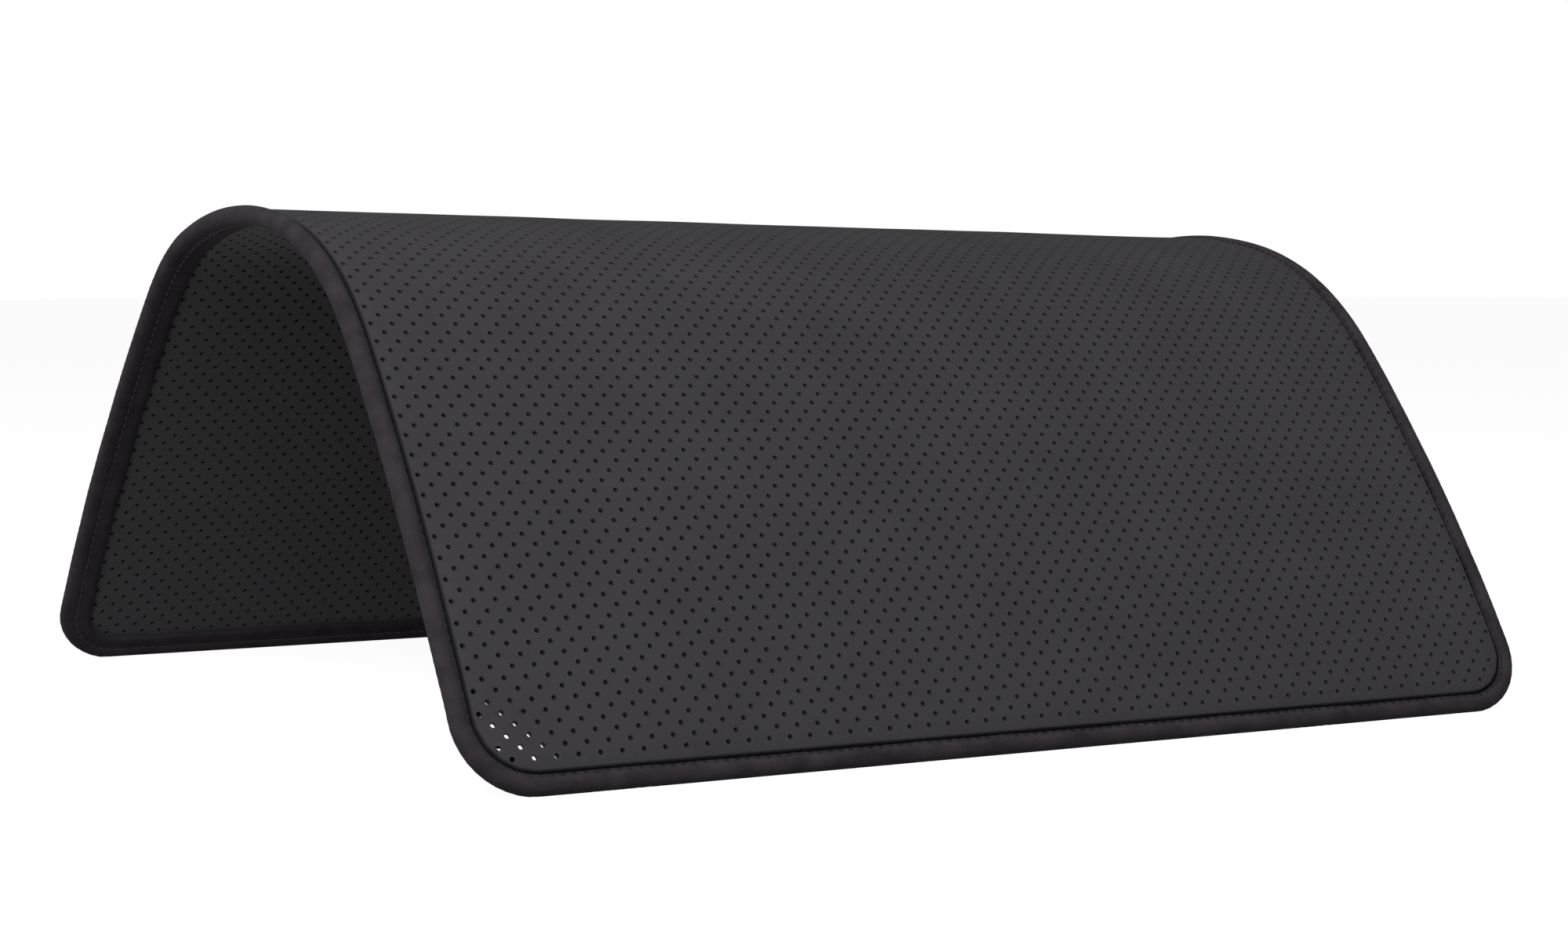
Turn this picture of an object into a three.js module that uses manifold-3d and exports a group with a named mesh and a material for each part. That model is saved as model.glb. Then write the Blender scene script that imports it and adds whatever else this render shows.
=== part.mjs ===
// Perforated non-slip pad, bent into an arch that stands on its two short ends.
// Units are millimetres and +Z is up. X runs along the ridge of the arch, -Y is the front foot and +Y
// the back foot. The origin is on the floor, under the middle of the bounding box.
//
// Every piece is first laid out on the flat sheet and then bent. A place on the flat sheet has three
// numbers: x across the sheet, s along it from the front foot to the back foot, and n off its middle
// layer, positive towards the outside of the arch.

import * as THREE from 'three';
import { mergeVertices } from 'three/addons/utils/BufferGeometryUtils.js';
import Module from 'manifold-3d';

const wasm = await Module();
wasm.setup();

// Flat sheet
const sheetLength = 600;
const sheetWidth = 450;
const cornerRadius = 27;
const foamThickness = 4.8;
const marginThickness = 3.8;

// Perforation: a square pattern turned by 45 degrees
const holeDiameter = 2.0;
const holePitch = 7.9;
const holeSides = 6;
const keptHoleStep = 6;

// Edge binding: one tape folded over the margin of the foam
const tapeThickness = 1.4;
const tapeClearance = 0.3;
const outerTapeWidth = 9;
const innerTapeWidth = 12.5;
const grooveWidth = 1.2;
const floorFlattening = 0.5;

// Seam: one line of stitches through both sides of the tape, the needle thread outside and the bobbin
// thread inside
const threadDiameter = 0.6;
const threadClearance = 0.3;
const seamToTapeEdge = 1.6;

// Arch: the lengths of its bends from front to back, and the slope of the sheet between them
const frontLegLength = 174;
const frontShoulderLength = 79;
const crownLength = 95;
const backShoulderLength = 47;
const frontFootSlope = 62;
const frontLegTopSlope = 48;
const crownFrontSlope = 11.5;
const crownBackSlope = -14.6;
const backLegTopSlope = -42;
const backFootSlope = -57;
const ridgeFall = 0.04;

// Fineness of the curved stretches
const cornerSteps = 5;
const noseSteps = 4;

// Sizes that follow from the ones above
const marginHalf = marginThickness / 2;
const tapeInnerHalf = marginHalf + tapeClearance;
const beadRadius = tapeInnerHalf + tapeThickness;
const fieldInset = Math.max(outerTapeWidth, innerTapeWidth) + grooveWidth;
const seamInset = Math.min(outerTapeWidth, innerTapeWidth) - seamToTapeEdge;
const rowSpacing = (holePitch * keptHoleStep) / 2;
const halfWidth = sheetWidth / 2;
const stepLevels = [
  [foamThickness / 2, marginHalf],
  [-marginHalf, -foamThickness / 2],
];
const joinDistance = 1e-4;

// Arch centreline

// The bends are arcs, each meeting the next one without a kink.
function archArcs(turn) {
  const backLegLength =
    sheetLength - frontLegLength - frontShoulderLength - crownLength - backShoulderLength;
  const slopes = [
    frontFootSlope, frontLegTopSlope, crownFrontSlope, crownBackSlope, backLegTopSlope, backFootSlope,
  ].map((slope) => THREE.MathUtils.degToRad(slope) + turn);
  const lengths = [
    frontLegLength, frontShoulderLength, crownLength, backShoulderLength, backLegLength,
  ];
  const arcs = [];
  let start = { s: 0, y: 0, z: 0 };
  lengths.forEach((length, index) => {
    const arc = { ...start, length, slope: slopes[index], bend: (slopes[index + 1] - slopes[index]) / length };
    arcs.push(arc);
    start = { s: arc.s + length, ...pointOnArc(arc, arc.s + length) };
  });
  return arcs;
}

function pointOnArc(arc, s) {
  const along = s - arc.s;
  if (Math.abs(arc.bend) < 1e-9) {
    return { y: arc.y + along * Math.cos(arc.slope), z: arc.z + along * Math.sin(arc.slope) };
  }
  const slope = arc.slope + arc.bend * along;
  return {
    y: arc.y + (Math.sin(slope) - Math.sin(arc.slope)) / arc.bend,
    z: arc.z - (Math.cos(slope) - Math.cos(arc.slope)) / arc.bend,
  };
}

function centreline(arcs, s) {
  const arc = arcs.findLast((candidate) => s >= candidate.s) ?? arcs[0];
  return { ...pointOnArc(arc, s), slope: arc.slope + arc.bend * (s - arc.s) };
}

// The arch is turned until the rounded edges of both feet lie on one floor.
function levelArch() {
  const plain = archArcs(0);
  const front = centreline(plain, beadRadius);
  const back = centreline(plain, sheetLength - beadRadius);
  return archArcs(-Math.atan2(back.z - front.z, back.y - front.y));
}

const arcs = levelArch();
const frontFoot = centreline(arcs, beadRadius);
const backFoot = centreline(arcs, sheetLength - beadRadius);
const floorLevel = frontFoot.z - beadRadius + floorFlattening;
const middleOfFeet = (frontFoot.y + backFoot.y) / 2;

// The ridge falls a little from the left end of the arch to the right end.
function bend(x, s, n) {
  const place = centreline(arcs, s);
  const y = place.y - middleOfFeet - n * Math.sin(place.slope);
  const z = place.z - floorLevel + n * Math.cos(place.slope);
  return new THREE.Vector3(x, y, z * (1 - (ridgeFall * x) / sheetWidth));
}

// Rounded outline of the sheet

// Half of the width of the outline that lies inset from the edge of the sheet, at a place along it.
function halfWidthAt(s, inset) {
  const radius = cornerRadius - inset;
  const fromEnd = Math.min(s, sheetLength - s) - inset;
  const intoCorner = Math.min(Math.max(radius - fromEnd, 0), radius);
  return halfWidth - cornerRadius + Math.sqrt(radius * radius - intoCorner * intoCorner);
}

// Places along the sheet of evenly turned points on the four corners of one outline.
function cornerLines(inset) {
  const radius = cornerRadius - inset;
  const lines = [];
  for (let step = 0; step <= cornerSteps; step += 1) {
    const fromEnd = cornerRadius - radius * Math.cos((Math.PI / 2) * (step / cornerSteps));
    lines.push(fromEnd, sheetLength - fromEnd);
  }
  return lines;
}

// Rows of holes, spread evenly about the middle of the sheet and clear of the margin.
function holeRows() {
  const reach = sheetLength / 2 - fieldInset - holeDiameter;
  const count = Math.floor(reach / rowSpacing);
  const rows = [];
  for (let row = -count; row <= count; row += 1) {
    rows.push({ s: sheetLength / 2 + row * rowSpacing, shift: Math.abs(row % 2) * rowSpacing });
  }
  return rows;
}

function holesInRow(row) {
  const reach = halfWidthAt(row.s, fieldInset) - holeDiameter;
  const count = Math.floor((reach + rowSpacing) / (2 * rowSpacing));
  const holes = [];
  for (let column = -count; column <= count; column += 1) {
    const x = column * 2 * rowSpacing + row.shift;
    if (Math.abs(x) <= reach) {
      holes.push(x);
    }
  }
  return holes;
}

// Lines across the sheet, along which it is bent. They pass on both sides of each row of holes and
// through the corners' points, and a corner's point too near to a hole or to another line is left out.
function bendLines(rows) {
  const kept = rows.flatMap((row) => [row.s - rowSpacing / 4, row.s + rowSpacing / 4]);
  kept.push(beadRadius, sheetLength - beadRadius, fieldInset, sheetLength - fieldInset);
  for (const line of [...cornerLines(beadRadius), ...cornerLines(fieldInset)]) {
    const clearOfHoles = rows.every((row) => Math.abs(row.s - line) > holeDiameter);
    const clearOfLines = kept.every((other) => Math.abs(other - line) > holeDiameter / 4);
    if (clearOfHoles && clearOfLines) {
      kept.push(line);
    }
  }
  return kept.sort((a, b) => a - b);
}

const rows = holeRows();
const lines = bendLines(rows);

// Skin of a piece

// Gathers triangles, joins equal corners and gives one closed geometry.
class Skin {
  constructor() {
    this.places = [];
  }

  triangle(a, b, c) {
    const same = Math.min(a.distanceTo(b), b.distanceTo(c), c.distanceTo(a)) < joinDistance;
    if (!same) {
      [a, b, c].forEach((corner) => this.places.push(corner.x, corner.y, corner.z));
    }
  }

  quad(a, b, c, d) {
    this.triangle(a, b, c);
    this.triangle(a, c, d);
  }

  close() {
    const loose = new THREE.BufferGeometry();
    loose.setAttribute('position', new THREE.Float32BufferAttribute(this.places, 3));
    return mergeVertices(loose, joinDistance);
  }
}

// Stations round the edge of the sheet, where the bend lines meet it. Each has a place on the
// rectangle of the corners' centres and the direction that points off the edge from there.
function edgeLoop() {
  const side = halfWidth - cornerRadius;
  const right = lines.map((s) => {
    const centre = Math.min(Math.max(s, cornerRadius), sheetLength - cornerRadius);
    const outS = (s - centre) / (cornerRadius - beadRadius);
    return { x: side, s: centre, outX: Math.sqrt(Math.max(1 - outS * outS, 0)), outS };
  });
  const left = right.map((station) => ({ ...station, x: -station.x, outX: -station.outX }));
  return [...right, ...left.toReversed()];
}

// Sweeps a section round the edge. Each of its points has an inset from the edge and an n.
function sweepRoundEdge(skin, section, closed) {
  const rings = edgeLoop().map((station) => section.map(([inset, n]) => {
    const out = cornerRadius - inset;
    return bend(station.x + out * station.outX, station.s + out * station.outS, n);
  }));
  const spans = closed ? section.length : section.length - 1;
  rings.forEach((ring, index) => {
    const next = rings[(index + 1) % rings.length];
    for (let corner = 0; corner < spans; corner += 1) {
      const after = (corner + 1) % section.length;
      skin.quad(ring[corner], next[corner], next[after], ring[after]);
    }
  });
}

// Perforated foam sheet

// Half of the width of the raised field. Beyond its ends the line goes straight on to the foot.
function fieldHalfWidth(s) {
  const inside = Math.min(Math.max(s, fieldInset), sheetLength - fieldInset);
  return halfWidthAt(inside, fieldInset);
}

// A flat four-cornered patch between two bend lines, with its holes, on one side of the sheet.
function addPatch(skin, [s, nextS], [left, right], [nextLeft, nextRight], n, holes = []) {
  const outline = [
    new THREE.Vector2(left, s), new THREE.Vector2(right, s),
    new THREE.Vector2(nextRight, nextS), new THREE.Vector2(nextLeft, nextS),
  ];
  const corners = [...outline, ...holes.flat()].map((corner) => bend(corner.x, corner.y, n));
  for (const [a, b, c] of THREE.ShapeUtils.triangulateShape(outline, holes)) {
    const facing = n > 0 ? [a, b, c] : [a, c, b];
    skin.triangle(...facing.map((corner) => corners[corner]));
  }
}

// A wall across the thickness of the sheet, from one place on it to another.
function addWall(skin, from, to, high, low) {
  const upright = (place, n) => bend(place.x, place.y, n);
  skin.quad(upright(from, high), upright(from, low), upright(to, low), upright(to, high));
}

function holeRing(x, s) {
  const ring = [];
  for (let side = 0; side < holeSides; side += 1) {
    const angle = (-2 * Math.PI * side) / holeSides;
    const reach = holeDiameter / 2;
    ring.push(new THREE.Vector2(x + reach * Math.cos(angle), s + reach * Math.sin(angle)));
  }
  return ring;
}

// The part of the sheet between two bend lines: a thick perforated field and its thin margins.
function addStrip(skin, s, nextS) {
  const fieldHalf = foamThickness / 2;
  const inField = s >= fieldInset && nextS <= sheetLength - fieldInset;
  const [edge, nextEdge] = [halfWidthAt(s, beadRadius), halfWidthAt(nextS, beadRadius)];
  const [field, nextField] = [fieldHalfWidth(s), fieldHalfWidth(nextS)];
  const crossed = inField ? rows.filter((row) => row.s > s && row.s < nextS) : [];
  const holes = crossed.flatMap((row) => holesInRow(row).map((x) => holeRing(x, row.s)));
  const span = [s, nextS];
  for (const side of [1, -1]) {
    const level = side * (inField ? fieldHalf : marginHalf);
    addPatch(skin, span, [-edge, -field], [-nextEdge, -nextField], side * marginHalf);
    addPatch(skin, span, [-field, field], [-nextField, nextField], level, holes);
    addPatch(skin, span, [field, edge], [nextField, nextEdge], side * marginHalf);
  }
  if (inField) {
    const [start, end] = [new THREE.Vector2(field, s), new THREE.Vector2(nextField, nextS)];
    const [farStart, farEnd] = [new THREE.Vector2(-field, s), new THREE.Vector2(-nextField, nextS)];
    for (const [high, low] of stepLevels) {
      addWall(skin, start, end, high, low);
      addWall(skin, farEnd, farStart, high, low);
    }
  }
  for (const ring of holes) {
    ring.forEach((place, index) => {
      addWall(skin, place, ring[(index + 1) % ring.length], fieldHalf, -fieldHalf);
    });
  }
}

function perforatedPad() {
  const skin = new Skin();
  for (let index = 0; index + 1 < lines.length; index += 1) {
    addStrip(skin, lines[index], lines[index + 1]);
  }
  const end = fieldHalfWidth(fieldInset);
  const [low, high] = [fieldInset, sheetLength - fieldInset];
  for (const [top, bottom] of stepLevels) {
    addWall(skin, new THREE.Vector2(-end, low), new THREE.Vector2(end, low), top, bottom);
    addWall(skin, new THREE.Vector2(end, high), new THREE.Vector2(-end, high), top, bottom);
  }
  const turn = marginHalf * Math.cos(Math.PI / 6);
  sweepRoundEdge(skin, [
    [beadRadius, -marginHalf],
    [beadRadius - turn, -marginHalf / 2],
    [beadRadius - turn, marginHalf / 2],
    [beadRadius, marginHalf],
  ], false);
  return skin.close();
}

// Edge binding

function noseArc(radius, fromAngle, toAngle) {
  const points = [];
  for (let step = 0; step <= noseSteps; step += 1) {
    const angle = fromAngle + (toAngle - fromAngle) * (step / noseSteps);
    points.push([beadRadius - radius * Math.cos(angle), radius * Math.sin(angle)]);
  }
  return points;
}

function bindingSection() {
  return [
    [innerTapeWidth, -tapeInnerHalf],
    [innerTapeWidth, -beadRadius],
    ...noseArc(beadRadius, -Math.PI / 2, Math.PI / 2),
    [outerTapeWidth, beadRadius],
    [outerTapeWidth, tapeInnerHalf],
    ...noseArc(tapeInnerHalf, Math.PI / 2, -Math.PI / 2),
  ];
}

function toSolid(geometry) {
  return new wasm.Manifold(new wasm.Mesh({
    numProp: 3,
    vertProperties: new Float32Array(geometry.attributes.position.array),
    triVerts: new Uint32Array(geometry.index.array),
  }));
}

function toGeometry(solid) {
  const mesh = solid.getMesh();
  const geometry = new THREE.BufferGeometry();
  geometry.setAttribute('position', new THREE.Float32BufferAttribute(mesh.vertProperties, 3));
  geometry.setIndex(new THREE.Uint32BufferAttribute(mesh.triVerts, 1));
  return geometry;
}

// The soft tape is pressed flat where it stands on the floor.
function edgeBinding() {
  const skin = new Skin();
  sweepRoundEdge(skin, bindingSection(), true);
  const depth = 10 * beadRadius;
  const block = new THREE.BoxGeometry(2 * sheetWidth, 2 * sheetLength, depth);
  block.translate(0, 0, -depth / 2);
  block.deleteAttribute('normal');
  block.deleteAttribute('uv');
  return toGeometry(toSolid(skin.close()).subtract(toSolid(mergeVertices(block))));
}

// Seam threads

function seamThread(side) {
  const radius = threadDiameter / 2;
  const n = beadRadius + threadClearance + radius;
  const skin = new Skin();
  sweepRoundEdge(skin, [
    [seamInset + radius, side * n],
    [seamInset, side * n - radius],
    [seamInset - radius, side * n],
    [seamInset, side * n + radius],
  ], true);
  return skin.close();
}

// Pieces

function piece(name, geometry, color, roughness) {
  geometry.computeVertexNormals();
  const mesh = new THREE.Mesh(geometry, new THREE.MeshStandardMaterial({ color, roughness, metalness: 0 }));
  mesh.name = name;
  return mesh;
}

const pad = new THREE.Group();
pad.add(piece('perforated_pad', perforatedPad(), 0x424043, 0.85));
pad.add(piece('edge_binding', edgeBinding(), 0x2c292c, 0.95));
pad.add(piece('seam_thread_outer', seamThread(1), 0x1b191b, 0.8));
pad.add(piece('seam_thread_inner', seamThread(-1), 0x1b191b, 0.8));

// The origin goes under the middle of the bounding box.
const box = new THREE.Box3().setFromObject(pad);
const middle = box.getCenter(new THREE.Vector3());
pad.position.set(-middle.x, -middle.y, -box.min.z);

export default pad;
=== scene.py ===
# %% [markdown]
# # A perforated non-slip pad, bent into an arch
#
# The real pad is a sheet of sponge rubber, punched with thousands of small holes. A brushed tape is
# folded over its edge and sewn down by one seam. The pad stands on its two short ends as an arch.
#
# The arch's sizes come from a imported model, which is loaded first and stays where it is. Every piece
# below is laid out on the flat sheet, as a pad maker would cut it, and bent into the arch at the end.

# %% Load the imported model
import math

import bmesh
import bpy
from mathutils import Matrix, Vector


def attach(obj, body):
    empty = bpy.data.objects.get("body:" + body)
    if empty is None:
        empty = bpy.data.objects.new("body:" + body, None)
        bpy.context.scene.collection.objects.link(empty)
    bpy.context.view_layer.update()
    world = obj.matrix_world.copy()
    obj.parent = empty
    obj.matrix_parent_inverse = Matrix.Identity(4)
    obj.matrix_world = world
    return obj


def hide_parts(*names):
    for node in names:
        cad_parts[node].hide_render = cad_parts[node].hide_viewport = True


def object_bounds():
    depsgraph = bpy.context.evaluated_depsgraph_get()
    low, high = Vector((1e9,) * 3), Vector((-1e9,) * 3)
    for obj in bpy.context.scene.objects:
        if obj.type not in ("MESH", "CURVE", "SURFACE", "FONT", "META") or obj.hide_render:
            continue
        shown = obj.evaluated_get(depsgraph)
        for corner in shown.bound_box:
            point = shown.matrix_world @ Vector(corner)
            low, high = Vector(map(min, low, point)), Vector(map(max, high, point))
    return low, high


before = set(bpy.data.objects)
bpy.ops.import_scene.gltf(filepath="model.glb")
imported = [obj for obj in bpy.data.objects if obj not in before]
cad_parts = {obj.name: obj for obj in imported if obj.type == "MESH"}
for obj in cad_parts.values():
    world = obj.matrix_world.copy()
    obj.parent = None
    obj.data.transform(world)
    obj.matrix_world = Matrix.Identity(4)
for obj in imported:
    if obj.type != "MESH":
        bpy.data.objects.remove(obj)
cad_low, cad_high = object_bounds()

MM = 0.001
print("packed nodes:", sorted(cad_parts))

# %% [markdown]
# ## The camera
#
# The camera stands to the left of the pad and a little above the middle of its height, so that it
# looks into the arch and along its ridge. It comes first, so that each new piece can be looked at
# in the photograph's framing.

# %% Camera
camera_data = bpy.data.cameras.new("camera")
camera_data.sensor_width = 36
camera_data.lens = 71.7
camera = bpy.data.objects.new("camera", camera_data)
camera.location = (-0.6344, -1.1072, 0.1631)
camera.rotation_euler = (math.radians(86.71), math.radians(-0.07), math.radians(-30.44))
bpy.context.scene.collection.objects.link(camera)
bpy.context.scene.camera = camera

# %% [markdown]
# ## The arch
#
# A bent sheet keeps its length, so the arch is drawn as a chain of arcs along the middle layer of
# the sheet. Each arc has a length and the slopes at its two ends. The chain is turned until both
# feet stand on one floor.
#
# The chain is kept as a curve object, because Geometry Nodes can ask a curve for its place and its
# direction at any length along it. That question is all that bending a flat sheet takes.

# %% Sizes of the sheet and the arch
SHEET_LENGTH = 600 * MM
SHEET_WIDTH = 450 * MM
CORNER_RADIUS = 27 * MM
FOAM_THICKNESS = 4.8 * MM
BEAD_RADIUS = 3.6 * MM
FLOOR_FLATTENING = 0.5 * MM
RIDGE_FALL = 0.04
ARC_LENGTHS = [174 * MM, 79 * MM, 95 * MM, 47 * MM]
SLOPES = [62, 48, 11.5, -14.6, -42, -57]
ARCH_STEP = 1 * MM


# %% Arch centreline
def arch_points(turn):
    """Points every ARCH_STEP along the arch's middle layer, as (y, z), with the sheet turned by turn."""
    lengths = ARC_LENGTHS + [SHEET_LENGTH - sum(ARC_LENGTHS)]
    slopes = [math.radians(slope) + turn for slope in SLOPES]
    y = z = 0.0
    points = [(y, z)]
    for length, start, end in zip(lengths, slopes, slopes[1:]):
        steps = round(length / ARCH_STEP)
        for step in range(steps):
            slope = start + (end - start) * (step + 0.5) / steps
            y += math.cos(slope) * length / steps
            z += math.sin(slope) * length / steps
            points.append((y, z))
    return points


def foot(points, end):
    """The centre of the rounded edge at one end of the arch."""
    steps = BEAD_RADIUS / ARCH_STEP
    whole = int(steps)
    first, second = (whole, whole + 1) if end == 0 else (-1 - whole, -2 - whole)
    near, far = points[first], points[second]
    share = steps - whole
    return (near[0] + (far[0] - near[0]) * share, near[1] + (far[1] - near[1]) * share)


flat_turn = arch_points(0)
front, back = foot(flat_turn, 0), foot(flat_turn, 1)
level = arch_points(-math.atan2(back[1] - front[1], back[0] - front[0]))
front, back = foot(level, 0), foot(level, 1)
middle = (front[0] + back[0]) / 2
floor_level = front[1] - BEAD_RADIUS + FLOOR_FLATTENING

arch_curve = bpy.data.curves.new("arch_centreline", "CURVE")
arch_curve.dimensions = "3D"
line = arch_curve.splines.new("POLY")
line.points.add(len(level) - 1)
for point, (y, z) in zip(line.points, level):
    point.co = (0, y - middle, z - floor_level, 1)
arch = bpy.data.objects.new("arch_centreline", arch_curve)
bpy.context.scene.collection.objects.link(arch)
print(f"arch: {len(level)} points, {(back[0] - front[0]) / MM:.1f} mm between the feet")

# %% [markdown]
# ## Small helpers for node trees
#
# One function adds a node of any kind. It takes the node's settings by name and a dictionary of its
# inputs: a node or a socket is linked, and anything else becomes the input's value.


# %% Node helpers
def add(tree, kind, inputs=None, **settings):
    """Adds one node to a tree, with its settings, and links or sets its inputs."""
    made = tree.nodes.new(kind)
    for name, value in settings.items():
        setattr(made, name, value)
    for name, value in (inputs or {}).items():
        if isinstance(value, bpy.types.Node):
            value = value.outputs[0]
        if isinstance(value, bpy.types.NodeSocket):
            tree.links.new(value, made.inputs[name])
        else:
            made.inputs[name].default_value = value
    return made


def new_tree(name, sizes, outputs=(("Geometry", "NodeSocketGeometry"),)):
    """A Geometry Nodes tree with a geometry input and named inputs for its sizes."""
    tree = bpy.data.node_groups.new(name, "GeometryNodeTree")
    tree.interface.new_socket("Geometry", in_out="INPUT", socket_type="NodeSocketGeometry")
    for label, kind in sizes.items():
        tree.interface.new_socket(label, in_out="INPUT", socket_type=kind)
    for label, kind in outputs:
        tree.interface.new_socket(label, in_out="OUTPUT", socket_type=kind)
    return tree, tree.nodes.new("NodeGroupInput"), tree.nodes.new("NodeGroupOutput")


def run_tree(holder, tree, values):
    """Gives an object the tree as a modifier and sets the tree's inputs by their identifiers."""
    modifier = holder.modifiers.new(tree.name, "NODES")
    modifier.node_group = tree
    for item in tree.interface.items_tree:
        if item.in_out == "INPUT" and item.name in values:
            modifier[item.identifier] = values[item.name]
    return modifier


def new_object(name, data):
    """Links a new object that holds this mesh or curve to the scene."""
    made = bpy.data.objects.new(name, data)
    bpy.context.scene.collection.objects.link(made)
    return made


def as_plain_mesh(holder, name):
    """Replaces a modified object by one that holds the result as a plain mesh, closed and facing out."""
    seen = holder.evaluated_get(bpy.context.evaluated_depsgraph_get())
    mesh = bpy.data.meshes.new_from_object(seen)
    mesh.name = name
    bpy.data.objects.remove(holder)
    work = bmesh.new()
    work.from_mesh(mesh)
    bmesh.ops.recalc_face_normals(work, faces=work.faces)
    loose_edges = sum(1 for edge in work.edges if len(edge.link_faces) != 2)
    work.to_mesh(mesh)
    work.free()
    triangles = sum(len(face.vertices) - 2 for face in mesh.polygons)
    print(f"{name}: {triangles} triangles, {loose_edges} edges without two faces")
    return new_object(name, mesh)


# %% [markdown]
# ## Bending a flat piece into the arch
#
# On the flat sheet, X runs across, Y is the distance from the front edge and Z is the height off
# the middle layer. The tree asks the arch's curve for the place and the tangent at the distance Y.
# It then puts the point there, at its height along the normal. The ridge falls a little to the
# right, and what would reach under the floor is pressed flat on it, as the soft tape is.
#
# Real foam is never quite even, so a slow noise also lifts and lowers the sheet by a fraction of a
# millimetre. The pad was bent by hand, a little askew, so its front foot lies 2 mm to the left. All
# pieces share this tree, so they keep their places on each other.

# %% Bending tree
UNEVENNESS = 0.5 * MM
UNEVENNESS_LENGTH = 70 * MM
FOOT_SHIFT = -2.0 * MM
FOOT_SHIFT_SPAN = (40 * MM, 240 * MM)


def make_bending_tree():
    """A tree that bends flat geometry along the arch."""
    tree, start, end = new_tree("bend_along_the_arch", {"Arch": "NodeSocketObject"})
    math_node, vector_math = "ShaderNodeMath", "ShaderNodeVectorMath"
    place = add(tree, "ShaderNodeSeparateXYZ", {0: add(tree, "GeometryNodeInputPosition")})
    arch_info = add(tree, "GeometryNodeObjectInfo", {"Object": start.outputs["Arch"]})
    on_arch = add(tree, "GeometryNodeSampleCurve", {
        "Curves": arch_info.outputs["Geometry"], "Length": place.outputs["Y"],
    }, mode="LENGTH", use_all_curves=True)
    tangent = add(tree, "ShaderNodeSeparateXYZ", {0: on_arch.outputs["Tangent"]})
    backwards = add(tree, math_node, {0: tangent.outputs["Z"], 1: -1.0}, operation="MULTIPLY")
    normal = add(tree, "ShaderNodeCombineXYZ", {"Y": backwards, "Z": tangent.outputs["Y"]})
    flat_place = add(tree, "ShaderNodeCombineXYZ", {"X": place.outputs["X"], "Y": place.outputs["Y"]})
    slow_noise = add(tree, "ShaderNodeTexNoise", {
        "Vector": flat_place, "Scale": 1 / UNEVENNESS_LENGTH, "Detail": 1.0,
    })
    lift = add(tree, math_node, {0: slow_noise, 1: -0.5}, operation="ADD")
    height = add(tree, math_node, {
        0: lift, 1: 2 * UNEVENNESS, 2: place.outputs["Z"],
    }, operation="MULTIPLY_ADD")
    off_layer = add(tree, vector_math, {0: normal, "Scale": height}, operation="SCALE")
    foot_shift = add(tree, "ShaderNodeMapRange", {
        "Value": place.outputs["Y"], "From Min": FOOT_SHIFT_SPAN[0], "From Max": FOOT_SHIFT_SPAN[1],
        "To Min": FOOT_SHIFT, "To Max": 0.0,
    }, interpolation_type="SMOOTHSTEP")
    shifted = add(tree, math_node, {
        0: place.outputs["X"], 1: foot_shift.outputs["Result"],
    }, operation="ADD")
    across = add(tree, "ShaderNodeCombineXYZ", {"X": shifted})
    bent = add(tree, vector_math, {0: on_arch.outputs["Position"], 1: off_layer}, operation="ADD")
    bent = add(tree, vector_math, {0: bent, 1: across}, operation="ADD")
    bent = add(tree, "ShaderNodeSeparateXYZ", {0: bent})
    fall = add(tree, math_node, {
        0: bent.outputs["X"], 1: -RIDGE_FALL / SHEET_WIDTH, 2: 1.0,
    }, operation="MULTIPLY_ADD")
    fallen = add(tree, math_node, {0: bent.outputs["Z"], 1: fall}, operation="MULTIPLY")
    standing = add(tree, math_node, {0: fallen, 1: 0.0}, operation="MAXIMUM")
    final = add(tree, "ShaderNodeCombineXYZ", {
        "X": bent.outputs["X"], "Y": bent.outputs["Y"], "Z": standing,
    })
    moved = add(tree, "GeometryNodeSetPosition", {
        "Geometry": start.outputs["Geometry"], "Position": final,
    })
    tree.links.new(moved.outputs["Geometry"], end.inputs["Geometry"])
    return tree


bending = make_bending_tree()


# %% [markdown]
# ## How far a point is from the edge
#
# Much depends on the distance to the edge of the sheet: where holes may be, where the foam is
# pinched thin by the seam, and where the tape ends. The sheet is a rectangle with round corners.
# Pull a point back to the rectangle that joins the corners' centres. The way it moved points off
# the edge, and the corner radius less that way is its distance from the edge.

# %% Edge distance tree
def make_edge_tree():
    """A tree that gives a point's distance from the edge of the sheet and the way off that edge."""
    tree, start, end = new_tree("distance_from_the_edge", {}, (
        ("Distance", "NodeSocketFloat"), ("Outwards", "NodeSocketVector"),
    ))
    core = Vector((SHEET_WIDTH / 2 - CORNER_RADIUS, SHEET_LENGTH / 2 - CORNER_RADIUS, 0))
    vector_math = "ShaderNodeVectorMath"
    flat = add(tree, vector_math, {
        0: add(tree, "GeometryNodeInputPosition"), 1: (1, 1, 0),
    }, operation="MULTIPLY")
    centred = add(tree, vector_math, {0: flat, 1: (0, -SHEET_LENGTH / 2, 0)}, operation="ADD")
    held_low = add(tree, vector_math, {0: centred, 1: -core}, operation="MAXIMUM")
    held = add(tree, vector_math, {0: held_low, 1: core}, operation="MINIMUM")
    way = add(tree, vector_math, {0: centred, 1: held}, operation="SUBTRACT")
    out = add(tree, vector_math, {0: way}, operation="NORMALIZE")
    length = add(tree, vector_math, {0: way}, operation="LENGTH")
    distance = add(tree, "ShaderNodeMath", {
        0: CORNER_RADIUS, 1: length.outputs["Value"],
    }, operation="SUBTRACT")
    tree.links.new(distance.outputs[0], end.inputs["Distance"])
    tree.links.new(out.outputs[0], end.inputs["Outwards"])
    return tree


edge_distance = make_edge_tree()

# %% [markdown]
# ## Colours and bump
#
# Colours are written as sRGB hex values, as a colour picker shows them, and turned to the linear
# values that Blender's shaders work in. A bump's strength stays at 1 and its distance is a real
# height, so each grain has the depth that it would have on the bench.


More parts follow.
